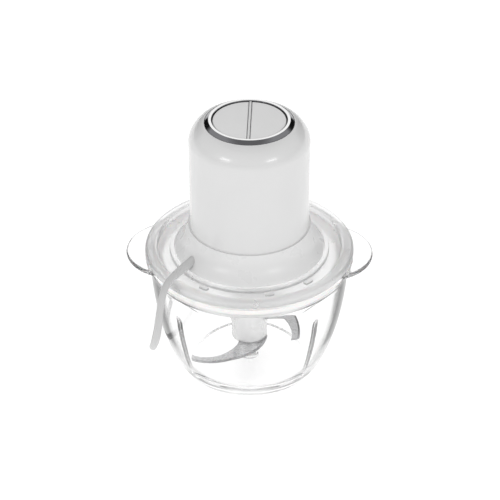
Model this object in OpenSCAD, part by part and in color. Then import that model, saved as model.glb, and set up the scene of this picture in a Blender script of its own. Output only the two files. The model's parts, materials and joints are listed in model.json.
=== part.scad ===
// Two-speed electric chopper: a glass bowl with two ear handles, a clear lid, a two-level
// blade unit that turns on a steel pin, and a motor unit with two push buttons on top.
// Millimetres, +Z up. The origin is on the table under the bowl's centre, the ears lie
// along X, and the mains lead leaves the skirt towards -Y and ends in a coil on the +Y side.

/* [Bowl] */
// Height of the bowl to the top of its rim
bowl_h = 116; // [114:0.5:117]
// Outer radius of the bowl's rim bead
bowl_rim_r = 87; // [86.5:0.1:87.5]
// Radius of the flat foot that stands on the table
foot_r = 56; // [52:1:58]
// Thickness of the bowl's floor
bowl_floor = 6.5; // [5:0.5:8]
// Distance from the centre to the outer edge of each ear
ear_reach = 105.5; // [102:0.5:108]
// Radius of the round lobe of each ear
ear_round = 41; // [40:0.5:42]
// Thickness of each ear
ear_t = 4.6; // [4:0.1:6]

/* [Lid] */
// Outer radius of the lid's raised band
lid_r = 89; // [88.5:0.1:90]
// Thickness of the lid's deck
lid_deck_t = 3; // [2:0.5:4]
// Outer radius of the collar that locates the motor unit
collar_r = 67.9; // [67:0.1:69]

/* [Motor unit] */
// Outer radius of the motor housing's upright wall
housing_r = 50.4; // [50:0.1:51]
// Height of the top edge of the housing
housing_top = 241.2; // [240:0.2:243]
// Outer radius of the flared skirt at its lower edge
skirt_r = 63.5; // [63:0.1:63.9]
// Wall thickness of the housing and of the skirt
shell_t = 2.2; // [1.8:0.1:2.4]

/* [Buttons] */
// Radius of the disc that the two half-moon buttons make
button_r = 30.4; // [29:0.1:30.6]
// Width of the bar between the two buttons
bar_w = 2; // [1.6:0.1:2.2]
// Travel of each button
button_travel = 3; // [2:0.5:3]

/* [Blade unit] */
// Outer radius of the clear sleeve on the blade unit's hub
hub_r = 15.4; // [14.8:0.1:16]
// Height of the underside of the lower blade's root
lower_blade_z = 25.5; // [25:0.5:26]
// Height of the underside of the upper blade's root
upper_blade_z = 55; // [50:1:60]
// Angle from the lower blade to the upper blade
upper_blade_turn = 101; // [80:1:180]
// Slope of the lower blade's arm below its root, in degrees
lower_blade_slope = 9.5; // [1:0.5:10]
// Slope of the upper blade's arm below its root, in degrees
upper_blade_slope = 13; // [1:0.5:14]
// Thickness of the steel of both blades
blade_t = 1.5; // [1:0.1:2]
// Radius of the steel pivot pin
pin_r = 3.5; // [3:0.1:4]

/* [Gear train] */
// Size of the gear teeth, as pitch diameter over tooth count
gear_module = 0.8; // [0.78:0.01:0.8]
// Height of the underside of the planet gears
planet_z = 126.3; // [126.2:0.1:126.4]
// Face width of the planet gears
planet_w = 8; // [7:0.5:8]

/* [Cord] */
// Diameter of the mains lead
cord_d = 6; // [5.6:0.1:6]
// Middle radius of the stored coil
coil_r = 33; // [32:1:34]

/* [Hidden] */
$fn = 96;
gap = 0.3;                     // clearance between parts of different bodies
over = 1;                      // how far a cutting tool runs past a face

// Bowl: wall curves as four-point Bezier curves in radius and height
bowl_outer = [[foot_r + 4.5, 3.5], [72, 18], [84, 62], [bowl_rim_r - 2, bowl_h - 12]];
bowl_inner = [[foot_r - 4, bowl_floor], [68, 9], [80, 56], [bowl_rim_r - 5.8, bowl_h - 12]];
bead_r = 2.2;                  // rounding of the rim bead
ear_fillet = 12;
ear_drop = 0.4;                // how far the ears' top lies below the rim's
rib_w = 3.4;                   // width of each inner rib, in degrees of the wall
rib_h = 4;
foot_hollow = 0.8;             // height of the underside inside the foot
boss_r = 7;                    // glass boss that holds the pivot pin
boss_top = 22;
pin_top = 58;

// Lid heights and radii
lid_deck_top = bowl_h + 1.5;
lid_deck_low = lid_deck_top - lid_deck_t;
flange_low = bowl_h + gap;
band_top = bowl_h + 5.5;
band_in_r = 78.5;
plug_wall_r = bowl_rim_r - 7;
plug_wall_low = bowl_h - 12;
guide_r = 17;                  // hole through the lid, round the coupling
guide_low = 100;

// Motor unit heights
skirt_low = lid_deck_top + gap;
skirt_edge = 121;              // top of the skirt's upright lower edge
skirt_top = 135.6;
skirt_neck_r = 52.1;
floor_top = 120.2;
shoulder_w = housing_r - 37;   // width and height of the rounded shoulder
shoulder_h = 17;
shoulder_n = 1.6;              // roundness of the shoulder, 2 is an ellipse
opening_r = housing_r - shoulder_w + 0.3;
ledge_z = 217;                 // top of the ledge that carries the switches
button_top = 243;
button_t = 4;
bezel_top = 243.9;
stem_x = 15;                   // the buttons' stems stand at +-stem_x
switch_low = 220.8;
switch_top = 229.8;
spring_r = 4.2;
spring_wire = 0.9;

// Motor
shaft_r = 4;
rotor_r = 19;
stator_r = 35;
stack_low = 160;
stack_top = 190;
bolt_ring_r = 32;
post_ring_r = 38;              // rubber-mounted posts of the motor
post_angles = [67.5:90:337.5];
screw_ring_r = 44;             // screws that join skirt and housing

// Planetary gear train
sun_teeth = 12;
planet_teeth = 18;
ring_teeth = 48;
planet_ring_r = gear_module * (sun_teeth + planet_teeth) / 2;
pressure_angle = 20;
tooth_thin = 0.09;             // taken off each tooth flank for backlash
planet_top = planet_z + planet_w;
coupling_low = 92;

// Mains lead: it leaves the skirt along lead_angle, straight out of lead_origin
cord_r = cord_d / 2;
lead_z = 125.2;
lead_angle = 238;
lead_origin = [-50.5, -39.2, lead_z];
relief_tip = 18;               // end of the strain relief, measured from lead_origin
relief_in = -17;
coil_c = [-21, 157];           // three turns side by side, and the last one climbs on top
coil_turns = 3;
coil_h = 12;
// Route of the lead from the strain relief to the coil, lying on the table at the end
run_route = [
    [-60, -54.5, 125.2], [-63.2, -60, 125], [-66.2, -66.3, 123.4], [-68.4, -72.7, 120],
    [-70, -78.4, 114.8], [-71, -82.8, 107.8], [-71.8, -85.4, 99.6], [-73, -86, 90.4],
    [-74.8, -83.5, 80], [-77, -77.5, 70.5], [-79, -67, 60], [-80.8, -53, 49],
    [-82.3, -38.5, 38], [-83.5, -23, 27], [-84.5, -8, 17.2], [-85.2, 6.5, 9.5],
    [-85.3, 20.5, 5], [-85, 34.5, 3.2], [-84.9, 48.5, 3], [-84.6, 62.5, 3],
    [-83.7, 76.5, 3], [-82, 90.5, 3], [-79.2, 104, 3], [-74.7, 117.5, 3],
    [-68.6, 130.5, 3], [-62.8, 143.5, 3], [-60, 157, 3]
];
// Route of the lead from the top of the coil to the plug
tail_route = [
    [-51, 157, 9], [-51, 167, 9], [-50.8, 177, 8.9], [-49.6, 187, 8.2],
    [-46.2, 196.5, 7.2], [-40.5, 204.5, 6.5], [-33, 210.6, 6.5], [-24, 214, 6.9]
];
plug_c = [-24, 214, 6.9];      // where the lead enters the plug's tapered neck
plug_neck = 22;
plug_len = 30;
plug_w = 24;
plug_t = 13.6;
pin_spacing = 19;
plug_pin_r = 2;
plug_pin_len = 19;

// ---- shared functions -------------------------------------------------------------

function bezier(p, t) = pow(1 - t, 3) * p[0] + 3 * t * pow(1 - t, 2) * p[1]
    + 3 * t * t * (1 - t) * p[2] + pow(t, 3) * p[3];
function bezier_points(p, n) = [for (i = [0:n]) bezier(p, i / n)];
function arc(c, r, a0, a1, n) =
    [for (i = [0:n]) c + r * [cos(a0 + (a1 - a0) * i / n), sin(a0 + (a1 - a0) * i / n)]];
function reversed(p) = [for (i = [len(p) - 1:-1:0]) p[i]];
function unit(v) = v / norm(v);
function tangent(p, i) = unit(p[min(i + 1, len(p) - 1)] - p[max(i - 1, 0)]);
// Sideways direction at point i, carried along the path without twisting
function side(p, i) = let (t = tangent(p, i), s = i == 0 ? [0.31, -0.2, 0.93] : side(p, i - 1))
    unit(s - (s * t) * t);
function helix(r, z0, z1, turns, steps) =
    [for (i = [0:turns * steps]) let (a = 360 * i / steps)
        [r * cos(a), r * sin(a), z0 + (z1 - z0) * i / (turns * steps)]];
// Angle of a tooth's flank from the tooth's middle at radius r, for an involute tooth
function inv(a) = tan(a) - a * PI / 180;
function flank(teeth, r, thin) = let (
        base_r = gear_module * teeth / 2 * cos(pressure_angle),
        at = acos(min(1, base_r / r)))
    (PI / (2 * teeth) - thin / (gear_module * teeth / 2) + inv(pressure_angle) - inv(at))
        * 180 / PI;
function tooth_points(teeth, root, tip, thin, middle) = let (
        base_r = gear_module * teeth / 2 * cos(pressure_angle),
        low = max(base_r, root), steps = 3,
        radii = concat(root < base_r ? [root] : [],
            [for (i = [0:steps]) low + (tip - low) * i / steps]))
    concat([for (r = radii) let (a = middle - flank(teeth, max(r, low), thin)) r * [cos(a), sin(a)]],
        [for (r = reversed(radii)) let (a = middle + flank(teeth, max(r, low), thin))
            r * [cos(a), sin(a)]]);

// ---- shared modules ---------------------------------------------------------------

module ring(outer, inner, z0, z1) {
    translate([0, 0, z0])
        difference() {
            cylinder(r = outer, h = z1 - z0);
            translate([0, 0, -over]) cylinder(r = inner, h = z1 - z0 + 2 * over);
        }
}
module disc(r, z0, z1) { translate([0, 0, z0]) cylinder(r = r, h = z1 - z0); }
module at_angles(angles, r) { for (a = angles) rotate([0, 0, a]) translate([r, 0, 0]) children(); }
module block(x0, x1, y0, y1, z0, z1) { translate([x0, y0, z0]) cube([x1 - x0, y1 - y0, z1 - z0]); }
module gear_outline(teeth, root, tip, thin) {
    polygon([for (k = [0:teeth - 1]) each tooth_points(teeth, root, tip, thin, 360 * k / teeth)]);
}
// A round tube swept along the points p
module swept_tube(p, r, sides = 10) {
    n = len(p);
    rings = [for (i = [0:n - 1], k = [0:sides - 1])
        let (s = side(p, i), v = cross(tangent(p, i), s), a = 360 * k / sides)
            p[i] + r * (cos(a) * s + sin(a) * v)];
    walls = [for (i = [0:n - 2], k = [0:sides - 1])
        let (a = i * sides + k, b = i * sides + (k + 1) % sides)
            each [[a, a + sides, b + sides], [a, b + sides, b]]];
    caps = [[for (k = [0:sides - 1]) k], [for (k = [sides - 1:-1:0]) (n - 1) * sides + k]];
    polyhedron(points = rings, faces = concat(walls, caps), convexity = 8);
}
// Puts +X along the lead's straight way out, from lead_origin
module on_lead() {
    translate(lead_origin) rotate([0, 0, lead_angle]) children();
}
// A rod along +X in on_lead or the plug, from x0 to x1, tapering from r0 to r1
module rod_x(r0, r1, x0, x1) {
    translate([x0, 0, 0]) rotate([0, 90, 0]) cylinder(r1 = r0, r2 = r1, h = x1 - x0);
}

// ---- bowl -------------------------------------------------------------------------

// An ear is a round lobe, blended into the rim by a fillet on each side
module ear() {
    rim_d = bowl_rim_r + ear_fillet;
    lobe_d = ear_round + ear_fillet;
    lobe_c = [ear_reach - ear_round, 0];
    fillet_x = (rim_d * rim_d - lobe_d * lobe_d + lobe_c[0] * lobe_c[0]) / (2 * lobe_c[0]);
    fillet_c = [fillet_x, sqrt(rim_d * rim_d - fillet_x * fillet_x)];
    to_lobe = fillet_c - lobe_c;
    lobe_a = atan2(to_lobe[1], to_lobe[0]);
    fillet = arc(fillet_c, ear_fillet, 180 + atan2(fillet_c[1], fillet_c[0]), 180 + lobe_a, 6);
    outline = concat(fillet, arc(lobe_c, ear_round, lobe_a, -lobe_a, 32),
        [for (p = reversed(fillet)) [p[0], -p[1]]]);
    translate([0, 0, bowl_h - ear_t])
        linear_extrude(ear_t - ear_drop)
            difference() {
                polygon(outline);
                circle(r = bowl_rim_r - 4);
            }
}
// One of the four upright ribs on the inside of the wall
module inner_rib() {
    wall = [for (t = [0.28:0.07:0.91]) bezier(bowl_inner, t)];
    last = len(wall) - 1;
    crest = [for (i = [1:last - 1]) wall[i] - [rib_h * pow(sin(180 * i / last), 0.4), 0]];
    rotate([0, 0, -rib_w / 2])
        rotate_extrude(angle = rib_w)
            polygon(concat([for (p = wall) p + [1, 0]], reversed(crest)));
}
module glass_bowl() {
    rim = concat(
        [[bowl_rim_r, bowl_h - 9]],
        arc([bowl_rim_r - bead_r, bowl_h - bead_r], bead_r, 0, 90, 4),
        [[bowl_rim_r - 5, bowl_h], [bowl_rim_r - 5.8, bowl_h - 1]]);
    section = concat(
        [[0, foot_hollow], [foot_r - 9, foot_hollow], [foot_r - 7, 0], [foot_r, 0]],
        bezier_points(bowl_outer, 12), rim, reversed(bezier_points(bowl_inner, 12)),
        [[0, bowl_floor]]);
    color([0.9, 0.94, 0.94, 0.4])
        union() {
            rotate_extrude() polygon(section);
            for (a = [0, 180]) rotate([0, 0, a]) ear();
            for (a = [45:90:315]) rotate([0, 0, a]) inner_rib();
            ring(boss_r, pin_r, bowl_floor - over, boss_top);
        }
}
module pivot_pin() {
    color("silver") {
        disc(pin_r, bowl_floor, pin_top - 1);
        translate([0, 0, pin_top - 1]) cylinder(r1 = pin_r, r2 = pin_r - 1, h = 1);
    }
}

// ---- lid --------------------------------------------------------------------------

module lid() {
    groove_z = [bowl_h - 9, bowl_h - 5];
    section = concat(
        [[guide_r, guide_low], [guide_r + 2.5, guide_low], [guide_r + 2.5, lid_deck_low],
         [plug_wall_r - 3.5, lid_deck_low], [plug_wall_r - 3.5, plug_wall_low],
         [plug_wall_r, plug_wall_low],
         [plug_wall_r, groove_z[0]], [plug_wall_r - 1.8, groove_z[0]],
         [plug_wall_r - 1.8, groove_z[1]], [plug_wall_r, groove_z[1]],
         [plug_wall_r, flange_low], [lid_r - 1, flange_low], [lid_r, flange_low + 1]],
        arc([lid_r - 3, band_top - 3], 3, 0, 90, 5),
        arc([band_in_r + 2.5, band_top - 2.5], 2.5, 90, 180, 5),
        [[band_in_r, lid_deck_top], [collar_r, lid_deck_top], [collar_r, bowl_h + 4.2],
         [collar_r - 0.8, bowl_h + 5], [skirt_r + 0.6, bowl_h + 5], [skirt_r + 0.6, lid_deck_top],
         [guide_r, lid_deck_top]]);
    color([0.92, 0.95, 0.95, 0.45])
        union() {
            rotate_extrude() polygon(section);
            // three locating tabs in the channel
            for (a = [240, 285, 315])
                rotate([0, 0, a]) block(collar_r + 1.3, collar_r + 5.5, -4, 4,
                    lid_deck_top - 1, lid_deck_top + 1.6);
        }
}
module lid_gasket() {
    color([0.95, 0.95, 0.95, 0.8])
        ring(plug_wall_r + 1, plug_wall_r - 1.8, bowl_h - 8.9, bowl_h - 5.1);
}

// ---- blade unit -------------------------------------------------------------------

hub_low = lower_blade_z + blade_t;
hub_top = 104;
core_r = hub_r - 3;
bush_r = 6;
socket_low = 88;
socket_r = 8;                  // radius of the coupling's round core
lobe_r = 1.9;

// Outline shared by the coupling and its socket: a round core with six lobes
module coupling_outline(grow) {
    circle(r = socket_r - 1.5 + grow);
    at_angles([0:60:300], socket_r - 1.2) circle(r = lobe_r + grow);
}
module blade_hub() {
    color([0.93, 0.93, 0.93, 0.75])
        difference() {
            ring(hub_r, core_r, hub_low, hub_top - 6);
            upper_blade_solid();
        }
}
module hub_core() {
    color("white")
        difference() {
            disc(core_r, hub_low, hub_top);
            upper_blade_solid();
            translate([0, 0, hub_low - over]) cylinder(r = bush_r, h = 62 - hub_low + over);
            translate([0, 0, socket_low])
                linear_extrude(hub_top - socket_low + over) coupling_outline(gap);
        }
}
module hub_bush() {
    color("silver")
        difference() {
            union() {
                disc(9, boss_top + gap, lower_blade_z);
                disc(bush_r, boss_top + gap, 62);
            }
            translate([0, 0, boss_top]) cylinder(r = pin_r + 0.05, h = pin_top + 1 - boss_top);
        }
}
// Plan of a blade: a sickle between two arcs, with a blunt tip, on a round root. The convex
// arc is the cutting edge, and tip_x moves the arc that ends the blade.
module blade_plan(root_r, tip_x) {
    reach = 60;
    difference() {
        union() {
            circle(r = root_r);
            intersection() {
                translate([-26.8, 4.2]) circle(r = 43.1);
                translate([-reach, -reach]) square([reach + 20, reach - 1]);
                translate([tip_x, -28]) circle(r = 39.3);
            }
        }
        translate([-33, -6.4]) circle(r = 24.6);
        circle(r = bush_r);
    }
}
// The plan, cut from a strip that bends down at x = bend_x, under the hub's edge
module bent_blade(root_r, tip_x, slope) {
    bend_x = -14;
    end_x = -60;
    root_x = 40;
    drop = (bend_x - end_x) * tan(slope);
    intersection() {
        translate([0, 0, -drop - over])
            linear_extrude(drop + blade_t + 2 * over) blade_plan(root_r, tip_x);
        rotate([90, 0, 0])
            linear_extrude(3 * root_x, center = true)
                polygon([[root_x, 0], [bend_x, 0], [end_x, -drop], [end_x, blade_t - drop],
                    [bend_x, blade_t], [root_x, blade_t]]);
    }
}
module lower_blade() {
    color("lightgray")
        translate([0, 0, lower_blade_z]) bent_blade(14, -10, lower_blade_slope);
}
module upper_blade_solid() {
    translate([0, 0, upper_blade_z]) rotate([0, 0, upper_blade_turn])
        bent_blade(core_r - 2, -4, upper_blade_slope);
}
module upper_blade() { color("lightgray") upper_blade_solid(); }

// ---- motor unit: covers and buttons -----------------------------------------------

function shoulder(w, h, top_r, top_z, n) = [for (i = [0:n]) let (a = 90 * i / n)
    [top_r + w * pow(sin(a), 2 / shoulder_n), top_z - h + h * pow(cos(a), 2 / shoulder_n)]];

module motor_housing() {
    top_r = housing_r - shoulder_w;
    inner_w = shoulder_w - shell_t / 2;
    section = concat(
        [[housing_r + 1.7, skirt_top + 0.05]],
        bezier_points([[housing_r + 1.7, skirt_top + 0.4], [housing_r + 0.4, 140],
            [housing_r, 145], [housing_r, 152]], 6),
        reversed(shoulder(shoulder_w - 0.3, shoulder_h, opening_r, housing_top, 14)),
        [[opening_r, 238.2], [33.9, 238.2], [33.9, 235.5], [opening_r, 235.5]],
        shoulder(inner_w - 1.4, shoulder_h - shell_t, top_r + 0.8, 234.6, 8),
        [[housing_r - shell_t, ledge_z], [44.5, ledge_z], [44.5, ledge_z - 2],
         [housing_r - shell_t, ledge_z - 5], [housing_r - shell_t, skirt_top + 0.05]]);
    color("white")
        difference() {
            union() {
                rotate_extrude() polygon(section);
                at_angles([0:90:270], screw_ring_r) disc(4.6, 126.4, 152);
            }
            at_angles([0:90:270], screw_ring_r) disc(1.3, 126, 148);
        }
}
module base_skirt() {
    flare = [[skirt_r, skirt_edge], [60.5, 125.5], [53.5, 128], [skirt_neck_r, skirt_top]];
    flare_in = [for (p = flare) p - [shell_t, 0]];
    section = concat(
        [[8, skirt_low], [skirt_r, skirt_low]], bezier_points(flare, 8),
        [[49.6, skirt_top]], reversed(bezier_points(flare_in, 8)),
        [[skirt_r - shell_t, floor_top], [8, floor_top]]);
    color([0.86, 0.86, 0.86])
        difference() {
            union() {
                rotate_extrude() polygon(section);
                ring(11, 8, floor_top - over, 122.6);
                at_angles([0:90:270], screw_ring_r) disc(4.6, floor_top - over, 126.2);
                at_angles(post_angles, post_ring_r) disc(4, floor_top - over, 144);
            }
            at_angles([0:90:270], screw_ring_r) {
                disc(1.8, skirt_low - over, 127);
                disc(3.4, skirt_low - over, 120.5);
            }
            at_angles(post_angles, post_ring_r) disc(1.2, 128, 145);
            // cooling slots through the floor, between the screws
            for (a = [15:15:345])
                if (a % 45 != 0 && abs(a - 220) > 25)
                    rotate([0, 0, a]) block(48, 57, -1.2, 1.2, skirt_low - over, floor_top + over);
            on_lead() rod_x(4.1, 4.1, -18, 10);
        }
}
module bezel_ring() {
    section = concat(
        [[31, 232], [33.5, 232], [33.5, 238.5], [36.9, 238.5], [36.9, 241.3]],
        [[34.1, bezel_top - 0.4]],
        arc([32.3, bezel_top - 1.2], 1.2, 45, 180, 8),
        [[31, 242.4]]);
    color([0.45, 0.45, 0.47]) rotate_extrude() polygon(section);
}
module bridge_bar() {
    color("white") block(-bar_w / 2, bar_w / 2, -30.9, 30.9, 236, button_top + 0.2);
}
module half_moon(r, cut_x) {
    intersection() {
        circle(r = r);
        translate([cut_x, -r]) square([r, 2 * r]);
    }
}
module button(sign_x) {
    cut = bar_w / 2 + 0.4;
    mirror([sign_x < 0 ? 1 : 0, 0, 0]) {
        translate([0, 0, button_top - button_t]) linear_extrude(button_t) half_moon(button_r, cut);
        difference() {
            translate([0, 0, 234]) linear_extrude(6) half_moon(button_r, cut);
            translate([0, 0, 233]) linear_extrude(8) half_moon(button_r - 1.6, cut + 1.6);
        }
        translate([stem_x, 0, 0]) {
            disc(3.2, 236.5, 240);
            disc(2, 226, 238);
        }
    }
}
module low_button() { color([0.83, 0.83, 0.83]) button(-1); }
module high_button() { color([0.83, 0.83, 0.83]) button(1); }
module button_spring(x) {
    r = spring_wire / 2;
    color("silver")
        translate([x, 0, 0])
            swept_tube(helix(spring_r, switch_top + r + 0.05, 239 - r - 0.05, 5, 12), r, 6);
}
module low_spring() { button_spring(-stem_x); }
module high_spring() { button_spring(stem_x); }

// ---- motor unit: switches ---------------------------------------------------------

module switch_carrier() {
    color("white")
        difference() {
            union() {
                disc(housing_r - shell_t - 0.4, ledge_z + 0.1, 219.1);
                for (y = [-13, 13], x = [-24, 24]) translate([x, y, 0]) disc(3, 219, 219.2);
            }
            disc(12, ledge_z - over, 220);
            for (y = [-32, 32]) translate([0, y, 0]) disc(6, ledge_z - over, 220);
            for (y = [-13, 13], x = [-24, 24]) translate([x, y, 0]) disc(1.2, 216, 220);
        }
}
module switch_board() {
    color("darkgreen")
        difference() {
            block(-28, 28, -16, 16, 219.2, 220.8);
            for (y = [-13, 13], x = [-24, 24]) translate([x, y, 0]) disc(1.5, 219, 221);
        }
}
module micro_switch(x) {
    color("dimgray")
        difference() {
            block(x - 7, x + 7, -9, 9, switch_low, switch_top);
            translate([x, 0, 0]) disc(2.3, switch_low + 1.4, switch_top + over);
        }
}
module low_switch() { micro_switch(-stem_x); }
module high_switch() { micro_switch(stem_x); }
module suppressor_capacitor() {
    color("goldenrod") block(-6, 6, 2, 8, switch_low, 229);
}

// ---- motor ------------------------------------------------------------------------

module coil_sector(r0, r1, half_angle, z0, z1) {
    rotate([0, 0, -half_angle]) translate([0, 0, z0])
        rotate_extrude(angle = 2 * half_angle) translate([r0, 0]) square([r1 - r0, z1 - z0]);
}
module stator_core() {
    color("dimgray")
        difference() {
            disc(stator_r, stack_low, stack_top);
            disc(rotor_r + 0.5, stack_low - over, stack_top + over);
            for (a = [0, 180]) rotate([0, 0, a])
                difference() {
                    coil_sector(22.2, 29.8, 42, stack_low - over, stack_top + over);
                    coil_sector(22.2, 31, 20, stack_low - over, stack_top + over);
                }
            at_angles([45:90:315], bolt_ring_r) disc(2, stack_low - over, stack_top + over);
        }
}
module field_coils() {
    color("peru")
        for (a = [0, 180]) rotate([0, 0, a])
            difference() {
                coil_sector(22.6, 29.4, 41, stack_low - 6, stack_top + 5);
                coil_sector(22, 31, 21, stack_low - 0.4, stack_top + 0.4);
            }
}
module motor_bolts() {
    color("silver")
        at_angles([45:90:315], bolt_ring_r) {
            disc(1.8, 148, 213);
            disc(3.2, 146, 148.4);
            disc(3.2, 211.1, 213.4);
        }
}
module bolt_spacers() {
    color("lightgray")
        at_angles([45:90:315], bolt_ring_r) {
            ring(3.2, 1.9, 151.1, stack_low - 0.1);
            ring(3.2, 1.9, stack_top + 0.1, 207.9);
        }
}
module upper_bracket() {
    color("lightgray")
        difference() {
            union() {
                for (a = [45, 135]) rotate([0, 0, a]) block(-35, 35, -5, 5, 208, 211);
                disc(10.5, 208, 214);
                for (s = [-1, 1]) translate([0, s * 20, 0])
                    block(-4.5, 4.5, -8, 8, 205.2, 209);
                for (s = [0, 180]) rotate([0, 0, s]) block(-4.5, 4.5, 8, 28, 208, 211);
            }
            disc(8, 209, 215);
            disc(6, 207, 215);
            at_angles([45:90:315], bolt_ring_r) disc(1.9, 207, 212);
        }
}
module lower_bracket() {
    color("lightgray")
        difference() {
            union() {
                ring(37, 27, 148.5, 151);
                for (a = [45, 135]) rotate([0, 0, a]) block(-36, 36, -5.5, 5.5, 148.5, 151);
                at_angles(post_angles, post_ring_r) disc(5.5, 148.5, 151);
                disc(10.5, 148.5, 154.5);
            }
            disc(8, 149.5, 155);
            disc(6, 148, 155);
            at_angles([45:90:315], bolt_ring_r) disc(1.9, 148, 152);
            at_angles(post_angles, post_ring_r) disc(1.6, 148, 152);
        }
}
module upper_bearing() { color("silver") ring(8, shaft_r + 0.05, 209, 213.5); }
module lower_bearing() { color("silver") ring(8, shaft_r + 0.05, 149.5, 154); }
module brush_holders() {
    color("goldenrod")
        for (a = [90, 270]) rotate([0, 0, a])
            difference() {
                block(12.5, 29, -4.5, 4.5, 196.5, 205.1);
                block(11, 27.5, -3, 3, 198, 203.6);
            }
}
module carbon_brushes() {
    color("black")
        for (a = [90, 270]) rotate([0, 0, a])
            difference() {
                block(9, 24, -2.9, 2.9, 198.1, 203.5);
                disc(11.06, 197, 205);
            }
}
module motor_dampers() {
    color("black") at_angles(post_angles, post_ring_r) ring(4.6, 1.6, 144.05, 148.45);
}
module mount_screws() {
    color("silver") at_angles(post_angles, post_ring_r) {
        disc(1.15, 134, 151.2);
        disc(2.8, 151.05, 153.2);
    }
}
module housing_screws() {
    color("silver") at_angles([0:90:270], screw_ring_r) {
        disc(1.25, 118.6, 142);
        disc(3.1, 118.2, 120.4);
    }
}
module motor_shaft() {
    color("silver") {
        disc(2.5, planet_z + 0.4, 139);
        disc(shaft_r, 138, 214.5);
    }
}
module rotor_stack() {
    color("dimgray")
        difference() {
            disc(rotor_r, stack_low, stack_top);
            disc(shaft_r, stack_low - over, stack_top + over);
            at_angles([0:30:330], 14.5) {
                disc(1.9, stack_low - over, stack_top + over);
                block(0, 6, -0.6, 0.6, stack_low - over, stack_top + over);
            }
        }
}
module rotor_windings() {
    color("peru") {
        at_angles([0:30:330], 14.5) disc(1.7, stack_low - 2, stack_top + 1.5);
        ring(17, 5.5, stack_low - 5, stack_low - 0.2);
        ring(17, 5.5, stack_top + 0.2, stack_top + 4.5);
    }
}
module commutator() {
    color("peru")
        difference() {
            ring(11, shaft_r, 196, 206);
            at_angles([0:15:345], 11) block(-1, 1, -0.25, 0.25, 195, 207);
        }
}
module cooling_fan() {
    color("white") {
        difference() {
            union() {
                disc(7, 139.5, 147);
                disc(31, 139.5, 141);
            }
            disc(shaft_r, 139, 148);
        }
        for (a = [0:36:324]) rotate([0, 0, a]) block(6.5, 30, -0.7, 0.7, 140.8, 145.5);
    }
}

// ---- gear train -------------------------------------------------------------------

module sun_pinion() {
    root = gear_module * sun_teeth / 2 - 1.15 * gear_module;
    tip = gear_module * sun_teeth / 2 + 0.9 * gear_module;
    color("silver")
        difference() {
            translate([0, 0, planet_z + 0.4])
                linear_extrude(9.6) gear_outline(sun_teeth, root, tip, tooth_thin);
            disc(2.5, planet_z - over, 137);
        }
}
module planet_gear(k) {
    root = gear_module * planet_teeth / 2 - 1.15 * gear_module;
    tip = gear_module * planet_teeth / 2 + 0.8 * gear_module;
    color("ivory")
        rotate([0, 0, 120 * k]) translate([planet_ring_r, 0, planet_z])
            rotate([0, 0, 180 / planet_teeth])
                difference() {
                    linear_extrude(planet_w) gear_outline(planet_teeth, root, tip, tooth_thin);
                    translate([0, 0, -over]) cylinder(r = 2.05, h = planet_w + 2 * over);
                }
}
module planet_gear_1() { planet_gear(0); }
module planet_gear_2() { planet_gear(1); }
module planet_gear_3() { planet_gear(2); }
module ring_gear() {
    // the spaces between the ring's teeth have the outline of a gear with thick teeth
    space_root = gear_module * ring_teeth / 2 - 0.75 * gear_module;
    space_tip = gear_module * ring_teeth / 2 + 1.15 * gear_module;
    color("ivory") {
        difference() {
            disc(23, planet_z - 0.3, planet_top + 0.2);
            translate([0, 0, planet_z - over])
                linear_extrude(planet_w + 2 * over)
                    rotate([0, 0, 180 / ring_teeth])
                        gear_outline(ring_teeth, space_root, space_tip, -tooth_thin);
        }
        ring(23, 20.8, floor_top + 0.05, planet_z - 0.3);
    }
}
module gearbox_cover() {
    color("lightgray") ring(23, 6.3, planet_top + 0.4, planet_top + 2.4);
}
module planet_carrier() {
    color("silver") {
        difference() {
            disc(16.5, 123.3, 126);
            at_angles([0, 120, 240], planet_ring_r) disc(2, 122, 127);
        }
        disc(5, 102, 124);
    }
}
module planet_pins() {
    color("silver") at_angles([0, 120, 240], planet_ring_r) disc(2, 123.3, planet_top + 0.2);
}
module output_bush() { color("goldenrod") ring(8, 5.05, skirt_low, 123); }
module output_coupling() {
    color("white")
        difference() {
            translate([0, 0, coupling_low]) linear_extrude(117.4 - coupling_low) coupling_outline(0);
            disc(5, 102, 118);
        }
}

// ---- mains lead -------------------------------------------------------------------

module strain_relief() {
    color([0.8, 0.8, 0.8])
        on_lead() difference() {
            union() {
                rod_x(4.9, 4.9, relief_in, relief_in + 2);
                rod_x(4, 4, relief_in, -4);
                rod_x(4, cord_r + 0.5, -4, relief_tip);
            }
            rod_x(cord_r, cord_r, relief_in - 3, relief_tip + over);
        }
}
module cord_inner_end() {
    color([0.8, 0.8, 0.8]) on_lead() rod_x(cord_r, cord_r, -34, relief_tip);
}
module cord_clamp() {
    color("white")
        on_lead() difference() {
            block(-26.5, -19.5, -7.6, 7.6, floor_top + 0.05 - lead_z, cord_r + 1.6);
            rod_x(cord_r, cord_r, -28, -18);
            for (y = [-5.3, 5.3]) translate([-23, y, 0]) disc(1.1, floor_top - lead_z, 6);
        }
}
module clamp_screws() {
    color("silver")
        on_lead() for (y = [-5.3, 5.3]) translate([-23, y, 0]) {
            disc(1.05, floor_top + 0.3 - lead_z, 5);
            disc(2.2, cord_r + 1.65, cord_r + 3.2);
        }
}
module cord_run() { color([0.85, 0.85, 0.85]) swept_tube(run_route, cord_r); }
module cord_coil() {
    wide = coil_turns * cord_r;  // half the width of the flat layer
    soft = 1.2;                  // rounding of the layer's edges
    color([0.85, 0.85, 0.85])
        translate([coil_c[0], coil_c[1], 0])
            rotate_extrude()
                polygon([
                    [coil_r - wide + soft, 0], [coil_r + wide - soft, 0],
                    [coil_r + wide, soft], [coil_r + wide, cord_d - soft],
                    [coil_r + wide - soft, cord_d], [coil_r + cord_r, cord_d],
                    [coil_r - soft, coil_h], [coil_r - cord_d + soft, coil_h],
                    [coil_r - wide + soft, cord_d], [coil_r - wide, cord_d - soft],
                    [coil_r - wide, soft]
                ]);
}
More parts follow.
